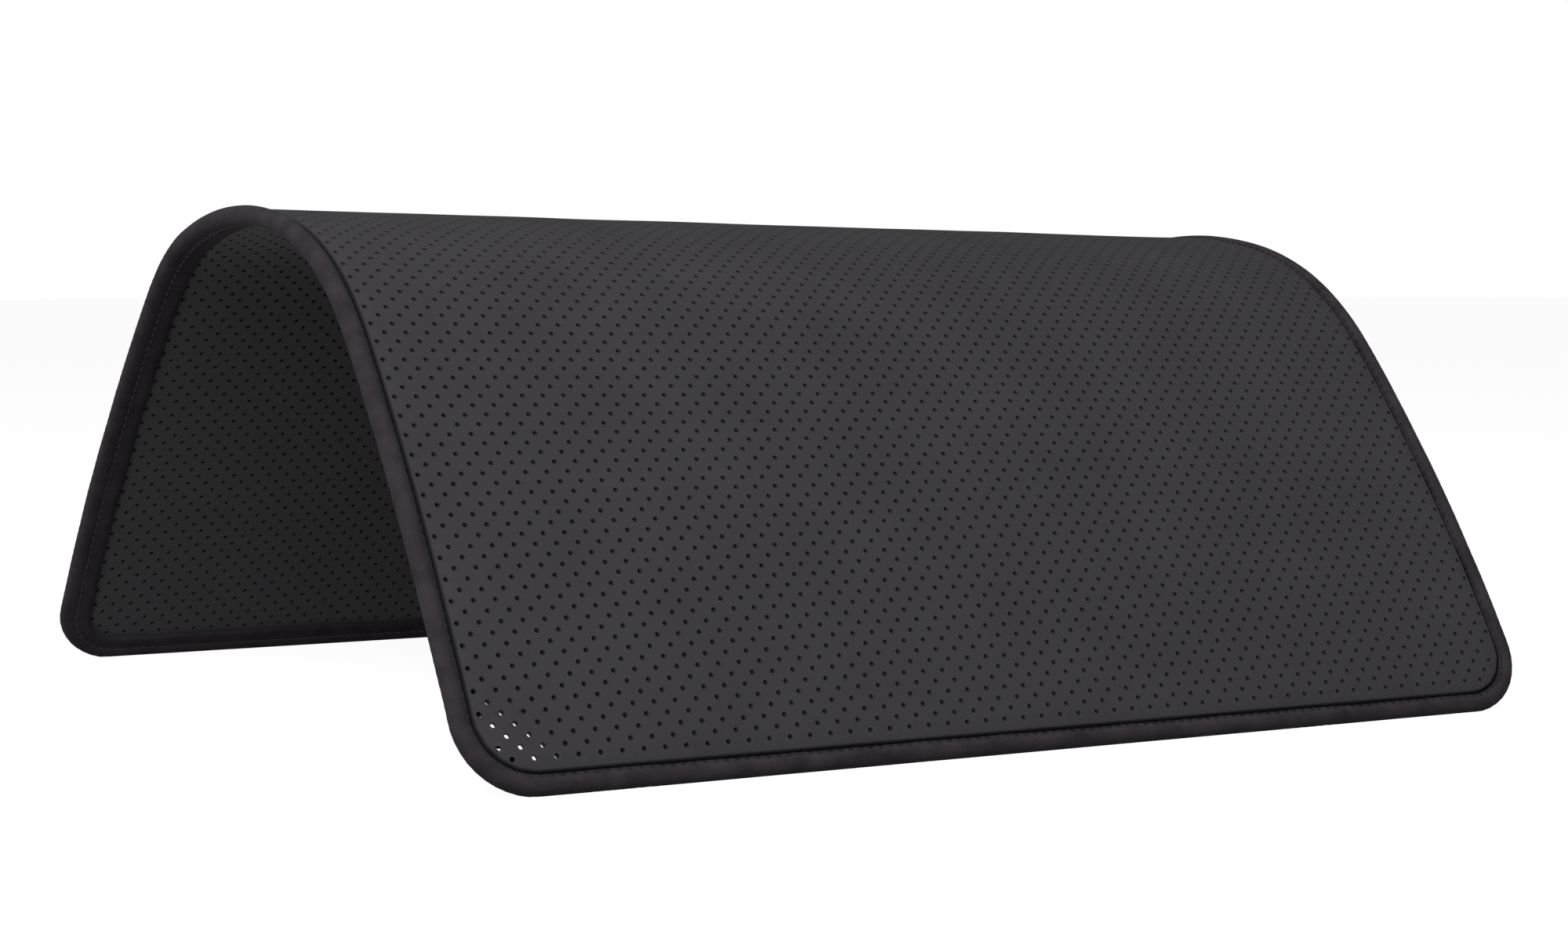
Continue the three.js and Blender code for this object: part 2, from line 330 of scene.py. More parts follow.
# %% Colour and material helpers
def linear(hex_colour):
    """An sRGB hex colour as linear red, green, blue and alpha."""
    values = [int(hex_colour[place:place + 2], 16) / 255 for place in (1, 3, 5)]
    return tuple(v / 12.92 if v <= 0.04045 else ((v + 0.055) / 1.055) ** 2.4 for v in values) + (1.0,)


def new_material(name, roughness, **constants):
    """A material with a Principled shader, whose constant values are set on its own sockets."""
    material = bpy.data.materials.new(name)
    material.use_nodes = True
    shader = material.node_tree.nodes["Principled BSDF"]
    shader.inputs["Roughness"].default_value = roughness
    for socket, value in constants.items():
        shader.inputs[socket.replace("_", " ")].default_value = value
    return material, material.node_tree, shader


def per_mm(size):
    """The scale at which a noise or a wave repeats about once in size."""
    return 1 / size


# %% [markdown]
# ## Finish: sponge rubber
#
# The sheet is closed-cell sponge rubber, charcoal and matt, split from a thicker block by a blade.
# Up close its face has a fine grain of cut cells, about a third of a millimetre wide. At arm's
# length that grain only softens the light, and faint lighter and darker patches a few centimetres
# wide show instead. The inside of a punched hole is the same rubber, and is dark because so little
# light reaches it. In the narrow groove by the tape the colour is darkened to near black. That is
# painted shade, standing in for the shadow deep in the groove.

# %% Sponge rubber
CELL_GRAIN = 0.5 * MM
PATCHES = 45 * MM


def sponge_rubber():
    """Matt charcoal sponge rubber, split from a block, with painted shade in the groove by the tape."""
    material, tree, shader = new_material("split_sponge_rubber", 0.82, Specular_IOR_Level=0.28)
    place = add(tree, "ShaderNodeTexCoord").outputs["Object"]
    patches = add(tree, "ShaderNodeTexNoise", {"Vector": place, "Scale": per_mm(PATCHES), "Detail": 3.0})
    grain = add(tree, "ShaderNodeTexNoise", {
        "Vector": place, "Scale": per_mm(CELL_GRAIN), "Detail": 2.0,
    })
    both = add(tree, "ShaderNodeMix", {0: 0.45, 2: patches, 3: grain}, data_type="FLOAT")
    colours = add(tree, "ShaderNodeValToRGB", {"Fac": both})
    colours.color_ramp.elements[0].position = 0.3
    colours.color_ramp.elements[0].color = linear("#3d3b3d")
    colours.color_ramp.elements[1].position = 0.7
    colours.color_ramp.elements[1].color = linear("#454346")
    # Painted shade: the rubber's colour is mixed towards near black (#151315) where the groove mask is
    # 1.
    groove = add(tree, "ShaderNodeAttribute", attribute_name="in_groove")
    with_painted_shade = add(tree, "ShaderNodeMix", {
        0: groove.outputs["Fac"], 6: colours.outputs["Color"], 7: linear("#151315"),
    }, data_type="RGBA")
    tree.links.new(with_painted_shade.outputs[2], shader.inputs["Base Color"])
    bump = add(tree, "ShaderNodeBump", {"Height": grain, "Strength": 1.0, "Distance": 0.06 * MM})
    tree.links.new(bump.outputs["Normal"], shader.inputs["Normal"])
    return material


rubber = sponge_rubber()

# %% [markdown]
# ## The punched sheet
#
# The holes lie on a square pattern turned by 45 degrees: 7.9 mm apart in each row, with the next
# row half as far away and half a step along. There are about eight thousand, so nobody places them
# by hand, and cutting them with booleans would be slow and untidy.
#
# The plane can be tiled with diamonds that each hold one hole in the middle. One diamond is made as
# a small mesh: two faces and the wall of the hole between them. Geometry Nodes set a copy on each
# place of the pattern, and the copies' corners are merged into one closed sheet. Near the edge
# another diamond is used, with one more ring of points round its hole, so that the holes stay round
# where the zigzag of the edge is pulled straight.

# %% Diamonds with a hole
HOLE_PITCH = 7.9 * MM
HOLE_DIAMETER = 2.0 * MM
HOLE_SIDES = 6
EXTRA_RING = 1.4 * MM


def punched_diamond(name, rings):
    """A diamond of foam with a hole. The rings are the radii of the rounds of points, hole first."""
    work = bmesh.new()
    for side in (1, -1):
        height = side * FOAM_THICKNESS / 2
        tips = [
            work.verts.new((math.cos(turn) * HOLE_PITCH / 2, math.sin(turn) * HOLE_PITCH / 2, height))
            for turn in (math.radians(90 * quarter) for quarter in range(4))
        ]
        rounds = [
            [
                work.verts.new((radius * math.cos(turn), radius * math.sin(turn), height))
                for turn in (math.tau * step / HOLE_SIDES for step in range(HOLE_SIDES))
            ]
            for radius in rings
        ]
        for inner, outer in zip(rounds, rounds[1:]):
            for step in range(HOLE_SIDES):
                following = (step + 1) % HOLE_SIDES
                work.faces.new((inner[step], outer[step], outer[following], inner[following]))
        for step in range(HOLE_SIDES):
            following = (step + 1) % HOLE_SIDES
            near, far = rounds[-1][step], rounds[-1][following]
            near_tip = round(4 * step / HOLE_SIDES + 0.01) % 4
            far_tip = round(4 * following / HOLE_SIDES - 0.01 + (4 if following == 0 else 0)) % 4
            corners = [near, tips[near_tip]]
            if far_tip != near_tip:
                corners.append(tips[far_tip])
            work.faces.new(corners + [far])
        if side == 1:
            upper = rounds[0]
    for step in range(HOLE_SIDES):
        following = (step + 1) % HOLE_SIDES
        work.faces.new((upper[step], upper[following], rounds[0][following], rounds[0][step]))
    mesh = bpy.data.meshes.new(name)
    work.to_mesh(mesh)
    work.free()
    return new_object(name, mesh)


plain_diamond = punched_diamond("plain_diamond", [HOLE_DIAMETER / 2])
edge_diamond = punched_diamond("edge_diamond", [HOLE_DIAMETER / 2, EXTRA_RING])
print("faces in a diamond:", len(plain_diamond.data.polygons), "and", len(edge_diamond.data.polygons))

# %% [markdown]
# ## From diamonds to a sheet
#
# The tiled diamonds end in a zigzag. Its points are pulled to one even distance from the edge. From
# there the open rim is drawn out in four steps: over a soft shoulder, down beside the tape, further
# out as a thin margin that the tape covers, and closed. The narrow gap between the shoulder and the
# tape is the dark groove that runs round the pad. Its foam is given painted shade, a near black
# colour that stands for the shadow in it. At the front left corner the holes lean, so that light
# shows through a few of them: the tight corner of the seam drags the two faces of the foam apart there.

# %% Sizes at the edge of the foam
FIRST_COLUMN = 1.9 * MM
FIRST_ROW = 0.4 * MM
LEAST_HOLE_DISTANCE = 9.5 * MM
EDGE_DIAMOND_DISTANCE = 17 * MM
RIM_DISTANCE = 8.3 * MM
RIM_STEPS = [(0.5 * MM, 0.12), (0.3 * MM, 0.8), (3.8 * MM, 0.0), (0.4 * MM, 1.0)]
# Painted shade darkens the foam's colour in the groove, between these two distances from the edge.
GROOVE_PAINTED_SHADE = (7.5 * MM, 8.0 * MM)
LEAN = Vector((2.0 * MM, 1.38 * MM, 0))
LEAN_REACH = 52 * MM
LEAN_FULL = 24 * MM
LEAN_CORNER = Vector((-SHEET_WIDTH / 2, 0, 0))


# %% Punched sheet tree
def hole_places(tree, start):
    """Points in rows, each row half a pitch from the last and shifted by half a pitch."""
    pitch = start.outputs["Hole Pitch"]
    columns = math.ceil(SHEET_WIDTH / HOLE_PITCH)
    rows = math.ceil(2 * SHEET_LENGTH / HOLE_PITCH)
    index = add(tree, "GeometryNodeInputIndex")
    row = add(tree, "ShaderNodeMath", {
        0: add(tree, "ShaderNodeMath", {0: index, 1: columns}, operation="DIVIDE"),
    }, operation="FLOOR")
    column = add(tree, "ShaderNodeMath", {0: index, 1: columns}, operation="MODULO")
    even = add(tree, "ShaderNodeMath", {0: row, 1: 2.0}, operation="MODULO")
    shift = add(tree, "ShaderNodeMath", {0: even, 1: -0.5, 2: 0.5}, operation="MULTIPLY_ADD")
    steps = add(tree, "ShaderNodeMath", {0: column, 1: shift}, operation="ADD")
    x = add(tree, "ShaderNodeMath", {
        0: steps, 1: pitch, 2: FIRST_COLUMN - SHEET_WIDTH / 2,
    }, operation="MULTIPLY_ADD")
    half_rows = add(tree, "ShaderNodeMath", {0: row, 1: 0.5}, operation="MULTIPLY")
    y = add(tree, "ShaderNodeMath", {0: half_rows, 1: pitch, 2: FIRST_ROW}, operation="MULTIPLY_ADD")
    return add(tree, "GeometryNodePoints", {
        "Count": rows * columns, "Position": add(tree, "ShaderNodeCombineXYZ", {"X": x, "Y": y}),
    })


def open_edges(tree):
    """A selection of the edges that have only one face."""
    faces = add(tree, "GeometryNodeInputMeshEdgeNeighbors")
    single = add(tree, "FunctionNodeCompare", {2: faces, 3: 1}, data_type="INT", operation="EQUAL")
    return add(tree, "GeometryNodeFieldOnDomain", {0: single}, data_type="BOOLEAN", domain="EDGE")


def draw_out(tree, geometry, edge, reach, lowering):
    """Extrudes the open edges off the sheet's edge, lowered by a share of their height."""
    out = add(tree, "ShaderNodeVectorMath", {
        0: edge.outputs["Outwards"], "Scale": reach,
    }, operation="SCALE")
    place = add(tree, "ShaderNodeSeparateXYZ", {0: add(tree, "GeometryNodeInputPosition")})
    down = add(tree, "ShaderNodeMath", {0: place.outputs["Z"], 1: -lowering}, operation="MULTIPLY")
    offset = add(tree, "ShaderNodeVectorMath", {
        0: out, 1: add(tree, "ShaderNodeCombineXYZ", {"Z": down}),
    }, operation="ADD")
    return add(tree, "GeometryNodeExtrudeMesh", {
        "Mesh": geometry, "Selection": open_edges(tree), "Offset": offset, "Offset Scale": 1.0,
    }, mode="EDGES")


def make_sheet_tree():
    """The whole punched sheet: diamonds, leaning holes, rim, painted shade in the groove, and the bend.
    """
    tree, start, end = new_tree("punched_sheet", {
        "Arch": "NodeSocketObject", "Plain Diamond": "NodeSocketObject",
        "Edge Diamond": "NodeSocketObject", "Hole Pitch": "NodeSocketFloat",
        "Rubber": "NodeSocketMaterial",
    })
    edge = add(tree, "GeometryNodeGroup", node_tree=edge_distance)
    distance = edge.outputs["Distance"]
    on_sheet = add(tree, "FunctionNodeCompare", {
        0: distance, 1: LEAST_HOLE_DISTANCE,
    }, operation="GREATER_THAN")
    inside = add(tree, "FunctionNodeCompare", {
        0: distance, 1: EDGE_DIAMOND_DISTANCE,
    }, operation="GREATER_THAN")
    near_edge = add(tree, "FunctionNodeBooleanMath", {0: on_sheet, 1: inside}, operation="NIMPLY")
    places = hole_places(tree, start)
    copies = add(tree, "GeometryNodeJoinGeometry")
    for label, selection in (("Plain Diamond", inside), ("Edge Diamond", near_edge)):
        diamond = add(tree, "GeometryNodeObjectInfo", {
            "Object": start.outputs[label], "As Instance": True,
        })
        placed = add(tree, "GeometryNodeInstanceOnPoints", {
            "Points": places, "Selection": selection, "Instance": diamond.outputs["Geometry"],
        })
        tree.links.new(placed.outputs[0], copies.inputs[0])
    real = add(tree, "GeometryNodeRealizeInstances", {0: copies})
    tiled = add(tree, "GeometryNodeMergeByDistance", {"Geometry": real, "Distance": 0.05 * MM})

    to_rim = add(tree, "ShaderNodeMath", {0: distance, 1: -RIM_DISTANCE}, operation="ADD")
    pull = add(tree, "ShaderNodeVectorMath", {
        0: edge.outputs["Outwards"], "Scale": to_rim,
    }, operation="SCALE")
    even = add(tree, "GeometryNodeSetPosition", {
        "Geometry": tiled, "Selection": open_edges(tree), "Offset": pull,
    })
    place = add(tree, "ShaderNodeSeparateXYZ", {0: add(tree, "GeometryNodeInputPosition")})
    from_corner = add(tree, "ShaderNodeVectorMath", {
        0: add(tree, "GeometryNodeInputPosition"), 1: LEAN_CORNER,
    }, operation="DISTANCE")
    lean_share = add(tree, "ShaderNodeMapRange", {
        "Value": from_corner.outputs["Value"], "From Min": LEAN_FULL, "From Max": LEAN_REACH,
        "To Min": 1.0, "To Max": 0.0,
    }, interpolation_type="SMOOTHSTEP")
    lean = add(tree, "ShaderNodeVectorMath", {
        0: LEAN, "Scale": lean_share.outputs["Result"],
    }, operation="SCALE")
    inner_face = add(tree, "FunctionNodeCompare", {0: place.outputs["Z"], 1: 0.0}, operation="LESS_THAN")
    may_lean = add(tree, "FunctionNodeBooleanMath", {
        0: inner_face, 1: open_edges(tree),
    }, operation="NIMPLY")
    leaning = add(tree, "GeometryNodeSetPosition", {
        "Geometry": even, "Selection": may_lean, "Offset": lean,
    })
    rim = leaning
    for reach, lowering in RIM_STEPS:
        rim = draw_out(tree, rim, edge, reach, lowering)
    # Painted shade: a mask that is 1 in the groove by the tape and fades to 0 further in. It darkens the
    # rubber's colour there.
    in_groove = add(tree, "ShaderNodeMapRange", {
        "Value": distance, "From Min": GROOVE_PAINTED_SHADE[0], "From Max": GROOVE_PAINTED_SHADE[1],
        "To Min": 1.0, "To Max": 0.0,
    })
    with_painted_shade = add(tree, "GeometryNodeStoreNamedAttribute", {
        "Geometry": rim, "Name": "in_groove", "Value": in_groove.outputs["Result"],
    }, data_type="FLOAT", domain="POINT")
    joined = add(tree, "GeometryNodeMergeByDistance", {"Geometry": with_painted_shade, "Distance": 0.05 * MM})
    bent = add(tree, "GeometryNodeGroup", {
        "Geometry": joined, "Arch": start.outputs["Arch"],
    }, node_tree=bending)
    smooth = add(tree, "GeometryNodeSetShadeSmooth", {"Geometry": bent})
    finished = add(tree, "GeometryNodeSetMaterial", {
        "Geometry": smooth, "Material": start.outputs["Rubber"],
    })
    tree.links.new(finished.outputs[0], end.inputs["Geometry"])
    return tree


# %% Make the punched sheet
holder = new_object("sheet_holder", bpy.data.meshes.new("sheet_holder"))
run_tree(holder, make_sheet_tree(), {
    "Arch": arch, "Plain Diamond": plain_diamond, "Edge Diamond": edge_diamond,
    "Hole Pitch": HOLE_PITCH, "Rubber": rubber,
})
punched_sheet = as_plain_mesh(holder, "punched_foam_sheet")
punched_sheet.data.set_sharp_from_angle(angle=math.radians(75))
for diamond in (plain_diamond, edge_diamond):
    bpy.data.objects.remove(diamond)

# %% [markdown]
# ## Finish: brushed binding tape
#
# The binding is a knitted nylon tape whose face was brushed, so that a short nap hides most of the
# knit. It is a little darker than the rubber and drinks light, apart from a faint sheen where it
# turns away. What the eye gets is fine fuzz, ribs along the tape about 1.2 mm apart, and a slow
# change of tone where the nap lies differently. The pattern follows the tape, so it is laid out on
# the tape's own UV map, in metres along it and across it.

# %% Brushed tape
RIB_SPACING = 1.2 * MM
NAP = 0.35 * MM
NAP_PATCHES = 9 * MM


def brushed_tape():
    """Black knitted nylon tape with a brushed face."""
    material, tree, shader = new_material(
        "brushed_knit_tape", 0.95, Specular_IOR_Level=0.08, Sheen_Weight=0.03, Sheen_Roughness=0.5,
    )
    along = add(tree, "ShaderNodeUVMap", uv_map="tape_place")
    ribs = add(tree, "ShaderNodeTexWave", {
        "Vector": along, "Scale": per_mm(RIB_SPACING) / math.tau * 0.5, "Distortion": 1.5,
        "Detail": 1.0, "Detail Scale": 2.0,
    }, bands_direction="Y")
    place = add(tree, "ShaderNodeTexCoord").outputs["Object"]
    nap = add(tree, "ShaderNodeTexNoise", {"Vector": place, "Scale": per_mm(NAP), "Detail": 2.0})
    patches = add(tree, "ShaderNodeTexNoise", {
        "Vector": place, "Scale": per_mm(NAP_PATCHES), "Detail": 2.0,
    })
    tone = add(tree, "ShaderNodeMix", {0: 0.45, 2: patches, 3: nap}, data_type="FLOAT")
    colours = add(tree, "ShaderNodeValToRGB", {"Fac": tone})
    colours.color_ramp.elements[0].position = 0.3
    colours.color_ramp.elements[0].color = linear("#2b282b")
    colours.color_ramp.elements[1].position = 0.7
    colours.color_ramp.elements[1].color = linear("#474146")
    tree.links.new(colours.outputs["Color"], shader.inputs["Base Color"])
    height = add(tree, "ShaderNodeMix", {0: 0.3, 2: nap, 3: ribs.outputs["Fac"]}, data_type="FLOAT")
    bump = add(tree, "ShaderNodeBump", {"Height": height, "Strength": 1.0, "Distance": 0.25 * MM})
    tree.links.new(bump.outputs["Normal"], shader.inputs["Normal"])
    return material


tape_finish = brushed_tape()

# %% [markdown]
# ## The folded tape
#
# The tape is one strip of cloth, folded over the edge. Its section is a curve through a few points:
# from the cut edge on the outside, up past the seam, round the edge as a half round bead, and back
# over the seam to the wider leg on the inside. Geometry Nodes sweep that section round the outline
# of the sheet, and a Solidify modifier gives the cloth its thickness. Sewn tape is never quite
# straight, so a slow noise moves its legs in and out, and each stitch draws it in a little.

# %% Tape sizes and section
OUTER_LEG = 6.7 * MM
INNER_LEG = 12.5 * MM
SEAM_DISTANCE = 5.9 * MM
CLOTH_THICKNESS = 0.9 * MM
STITCH_LENGTH = 4.0 * MM
TAPE_WANDER = 1.4 * MM
NOSE_WANDER = 0.4
WANDER_LENGTH = 22 * MM
SCALLOP = 0.25 * MM
OUTLINE_STEP = STITCH_LENGTH / 3


def section_points():
    """The tape's outer surface, as (distance from the edge, height off the middle layer)."""
    outer_leg = [(OUTER_LEG, 1.5 * MM), (SEAM_DISTANCE, 2.2 * MM), (4.9 * MM, 3.1 * MM)]
    inner_leg = [
        (4.9 * MM, -3.4 * MM), (SEAM_DISTANCE, -3.0 * MM), (7.8 * MM, -3.3 * MM), (INNER_LEG, -3.4 * MM),
    ]
    nose = [
        (BEAD_RADIUS - BEAD_RADIUS * math.cos(turn), BEAD_RADIUS * math.sin(turn))
        for turn in (math.radians(90 - 30 * step) for step in range(7))
    ]
    return outer_leg + nose + inner_leg


def section_curve():
    """The section as a smooth curve, with X pointing off the edge and Y off the middle layer."""
    curve = bpy.data.curves.new("tape_section", "CURVE")
    curve.resolution_u = 2
    points = section_points()
    spline = curve.splines.new("BEZIER")
    spline.bezier_points.add(len(points) - 1)
    for point, (inwards, height) in zip(spline.bezier_points, points):
        point.co = (-inwards, -height, 0)
        point.handle_left_type = point.handle_right_type = "AUTO"
    return new_object("tape_section", curve)


# %% Outline tree
def outline_path(tree, inset):
    """The sheet's outline as a curve, drawn in from the edge by an inset."""
    width = SHEET_WIDTH - 2 * inset
    length = SHEET_LENGTH - 2 * inset
    box = add(tree, "GeometryNodeCurvePrimitiveQuadrilateral", {"Width": width, "Height": length})
    rounded = add(tree, "GeometryNodeFilletCurve", {
        "Curve": box, "Radius": CORNER_RADIUS - inset, "Count": 24, "Limit Radius": True,
    }, mode="POLY")
    placed = add(tree, "GeometryNodeTransform", {
        "Geometry": rounded, "Translation": (0, SHEET_LENGTH / 2, 0),
    })
    return placed


# %% Tape tree
def make_tape_tree():
    """The tape's outer surface, swept round the sheet, made a little uneven and bent."""
    tree, start, end = new_tree("folded_tape", {
        "Arch": "NodeSocketObject", "Section": "NodeSocketObject", "Outline Step": "NodeSocketFloat",
        "Tape": "NodeSocketMaterial",
    })
    path = add(tree, "GeometryNodeResampleCurve", {
        "Curve": outline_path(tree, 0), "Length": start.outputs["Outline Step"],
    }, mode="LENGTH")
    on_path = add(tree, "GeometryNodeCaptureAttribute", {"Geometry": path}, domain="POINT")
    on_path.capture_items.new("FLOAT", "Along")
    tree.links.new(add(tree, "GeometryNodeSplineParameter").outputs["Length"], on_path.inputs["Along"])
    section = add(tree, "GeometryNodeObjectInfo", {"Object": start.outputs["Section"]})
    on_section = add(tree, "GeometryNodeCaptureAttribute", {
        "Geometry": section.outputs["Geometry"],
    }, domain="POINT")
    on_section.capture_items.new("FLOAT", "Across")
    section_place = add(tree, "GeometryNodeSplineParameter")
    tree.links.new(section_place.outputs["Length"], on_section.inputs["Across"])
    swept = add(tree, "GeometryNodeCurveToMesh", {
        "Curve": on_path.outputs["Geometry"], "Profile Curve": on_section.outputs["Geometry"],
    })
    map_place = add(tree, "ShaderNodeCombineXYZ", {
        "X": on_path.outputs["Along"], "Y": on_section.outputs["Across"],
    })
    mapped = add(tree, "GeometryNodeStoreNamedAttribute", {
        "Geometry": swept, "Name": "tape_place", "Value": map_place,
    }, data_type="FLOAT2", domain="CORNER")
    edge = add(tree, "GeometryNodeGroup", node_tree=edge_distance)
    noise = add(tree, "ShaderNodeTexNoise", {
        "Vector": add(tree, "GeometryNodeInputPosition"), "Scale": per_mm(WANDER_LENGTH), "Detail": 2.0,
    })
    wander = add(tree, "ShaderNodeMath", {0: noise, 1: -0.5}, operation="ADD")
    wave = add(tree, "ShaderNodeMath", {
        0: add(tree, "ShaderNodeMath", {
            0: on_path.outputs["Along"], 1: math.tau / STITCH_LENGTH,
        }, operation="MULTIPLY"),
    }, operation="SINE")
    wander_size = add(tree, "ShaderNodeMath", {0: wander, 1: -TAPE_WANDER}, operation="MULTIPLY")
    shift = add(tree, "ShaderNodeMath", {
        0: wave, 1: SCALLOP / 2, 2: wander_size,
    }, operation="MULTIPLY_ADD")
    leg_share = add(tree, "ShaderNodeMapRange", {
        "Value": edge.outputs["Distance"], "From Min": BEAD_RADIUS, "From Max": OUTER_LEG,
        "To Min": NOSE_WANDER, "To Max": 1.0,
    })
    leg_shift = add(tree, "ShaderNodeMath", {
        0: shift, 1: leg_share.outputs["Result"],
    }, operation="MULTIPLY")
    offset = add(tree, "ShaderNodeVectorMath", {
        0: edge.outputs["Outwards"], "Scale": leg_shift,
    }, operation="SCALE")
    uneven = add(tree, "GeometryNodeSetPosition", {"Geometry": mapped, "Offset": offset})
    bent = add(tree, "GeometryNodeGroup", {
        "Geometry": uneven, "Arch": start.outputs["Arch"],
    }, node_tree=bending)
    smooth = add(tree, "GeometryNodeSetShadeSmooth", {"Geometry": bent})
    real = add(tree, "GeometryNodeRealizeInstances", {0: smooth})
    finished = add(tree, "GeometryNodeSetMaterial", {
        "Geometry": real, "Material": start.outputs["Tape"],
    })
    tree.links.new(finished.outputs[0], end.inputs["Geometry"])
    return tree


# %% Make the tape
section = section_curve()
holder = new_object("tape_holder", bpy.data.meshes.new("tape_holder"))
run_tree(holder, make_tape_tree(), {
    "Arch": arch, "Section": section, "Outline Step": OUTLINE_STEP, "Tape": tape_finish,
})
cloth = holder.modifiers.new("cloth_thickness", "SOLIDIFY")
cloth.thickness = CLOTH_THICKNESS
cloth.offset = -1
binding_tape = as_plain_mesh(holder, "folded_binding_tape")
bpy.data.objects.remove(section)

# %% [markdown]
# ## Finish: sewing thread
#
# The seam is sewn with black polyester thread, two plies twisted together. It is the darkest thing
# on the pad and has a slight gloss. The twist is drawn as diagonal bands 0.7 mm apart, coarser than
# on real thread, because a truer one would not show.

# %% Sewing thread
TWIST_SPACING = 0.7 * MM


def sewing_thread():
    """Black twisted polyester thread."""
    material, tree, shader = new_material("twisted_polyester_thread", 0.6, Specular_IOR_Level=0.4)
    place = add(tree, "ShaderNodeTexCoord").outputs["Object"]
    twist = add(tree, "ShaderNodeTexWave", {
        "Vector": place, "Scale": per_mm(TWIST_SPACING) / math.tau * 0.5,
    }, bands_direction="DIAGONAL")
    colours = add(tree, "ShaderNodeValToRGB", {"Fac": twist.outputs["Fac"]})
    colours.color_ramp.elements[0].color = linear("#0e0d0f")
    colours.color_ramp.elements[1].color = linear("#1d1b1e")
    tree.links.new(colours.outputs["Color"], shader.inputs["Base Color"])
    bump = add(tree, "ShaderNodeBump", {
        "Height": twist.outputs["Fac"], "Strength": 1.0, "Distance": 0.08 * MM,
    })
    tree.links.new(bump.outputs["Normal"], shader.inputs["Normal"])
    return material


thread_finish = sewing_thread()

# %% [markdown]
# ## The seam
#
# One line of lockstitches runs round the pad, 7.4 mm in from the edge, with the needle thread on the
# outside and the bobbin thread on the inside. A stitch is a short bar of thread that rises out of
# the cloth, lies on it and dives back in. One stitch is modelled and set round the outline at even
# steps, turned to follow it.

# %% One stitch
STITCH_GAP = 0.7 * MM
THREAD_RADIUS = 0.32 * MM
STITCH_SINK = 0.45 * MM
THREAD_SIDES = 6


def one_stitch():
    """A bar of thread along X, thinner and lower at its ends, as a closed mesh."""
    work = bmesh.new()
    half = (STITCH_LENGTH - STITCH_GAP) / 2
    rings = []
    for share, radius_share in ((-1, 0.45), (-0.75, 0.9), (0, 1), (0.75, 0.9), (1, 0.45)):
        drop = STITCH_SINK * share * share
        rings.append([
            work.verts.new((
                half * share,
                THREAD_RADIUS * radius_share * math.cos(turn),
                THREAD_RADIUS * radius_share * math.sin(turn) - drop,
            ))
            for turn in (math.tau * step / THREAD_SIDES for step in range(THREAD_SIDES))
        ])
    for ring, following in zip(rings, rings[1:]):
        for step in range(THREAD_SIDES):
            after = (step + 1) % THREAD_SIDES
            work.faces.new((ring[step], following[step], following[after], ring[after]))
    work.faces.new(rings[0])
    work.faces.new(rings[-1])
    bmesh.ops.recalc_face_normals(work, faces=work.faces)
    mesh = bpy.data.meshes.new("one_stitch")
    work.to_mesh(mesh)
    work.free()
    return new_object("one_stitch", mesh)


# %% Seam tree
def make_seam_tree():
    """Stitches at even steps round the sheet, on one face of it, bent with it."""
    tree, start, end = new_tree("seam_stitches", {
        "Arch": "NodeSocketObject", "Stitch": "NodeSocketObject", "Count": "NodeSocketInt",
        "Height": "NodeSocketFloat", "Turn Over": "NodeSocketFloat", "Thread": "NodeSocketMaterial",
    })
    points = add(tree, "GeometryNodeCurveToPoints", {
        "Curve": outline_path(tree, SEAM_DISTANCE), "Count": start.outputs["Count"],
    }, mode="COUNT")
    stitch = add(tree, "GeometryNodeObjectInfo", {
        "Object": start.outputs["Stitch"], "As Instance": True,
    })
    over = add(tree, "ShaderNodeCombineXYZ", {"X": start.outputs["Turn Over"]})
    along = add(tree, "FunctionNodeAlignRotationToVector", {
        "Vector": points.outputs["Tangent"],
    }, axis="X", pivot_axis="Z")
    turned = add(tree, "FunctionNodeRotateRotation", {
        "Rotation": along, "Rotate By": over,
    }, rotation_space="LOCAL")
    placed = add(tree, "GeometryNodeInstanceOnPoints", {
        "Points": points, "Instance": stitch.outputs["Geometry"], "Rotation": turned,
    })
    real = add(tree, "GeometryNodeRealizeInstances", {0: placed})
    lift = add(tree, "ShaderNodeCombineXYZ", {"Z": start.outputs["Height"]})
    lifted = add(tree, "GeometryNodeSetPosition", {"Geometry": real, "Offset": lift})
    bent = add(tree, "GeometryNodeGroup", {
        "Geometry": lifted, "Arch": start.outputs["Arch"],
    }, node_tree=bending)
    smooth = add(tree, "GeometryNodeSetShadeSmooth", {"Geometry": bent})
    finished = add(tree, "GeometryNodeSetMaterial", {
        "Geometry": smooth, "Material": start.outputs["Thread"],
    })
    tree.links.new(finished.outputs[0], end.inputs["Geometry"])
    return tree


# %% Make both threads of the seam
NEEDLE_HEIGHT = 2.35 * MM
BOBBIN_HEIGHT = -3.15 * MM

seam_tree = make_seam_tree()
stitch = one_stitch()
seam_radius = CORNER_RADIUS - SEAM_DISTANCE
straight = 2 * (SHEET_WIDTH + SHEET_LENGTH - 4 * CORNER_RADIUS)
seam_length = straight + math.tau * seam_radius
stitch_count = round(seam_length / STITCH_LENGTH)
threads = {}
for name, height, turn_over in (
    ("needle_stitches", NEEDLE_HEIGHT, 0.0),
    ("bobbin_stitches", BOBBIN_HEIGHT, math.pi),
):
    holder = new_object(name + "_holder", bpy.data.meshes.new(name + "_holder"))
    run_tree(holder, seam_tree, {
        "Arch": arch, "Stitch": stitch, "Count": stitch_count, "Height": height,
        "Turn Over": turn_over, "Thread": thread_finish,
    })
    threads[name] = as_plain_mesh(holder, name)
bpy.data.objects.remove(stitch)
bpy.data.objects.remove(arch)
print(f"seam: {seam_length:.3f} m with {stitch_count} stitches on each side")

# %% [markdown]
# ## Joining the looks to the imported model
#
# Each made piece takes the place of the plain solid that the imported model has for it, and rides on
# the one body.

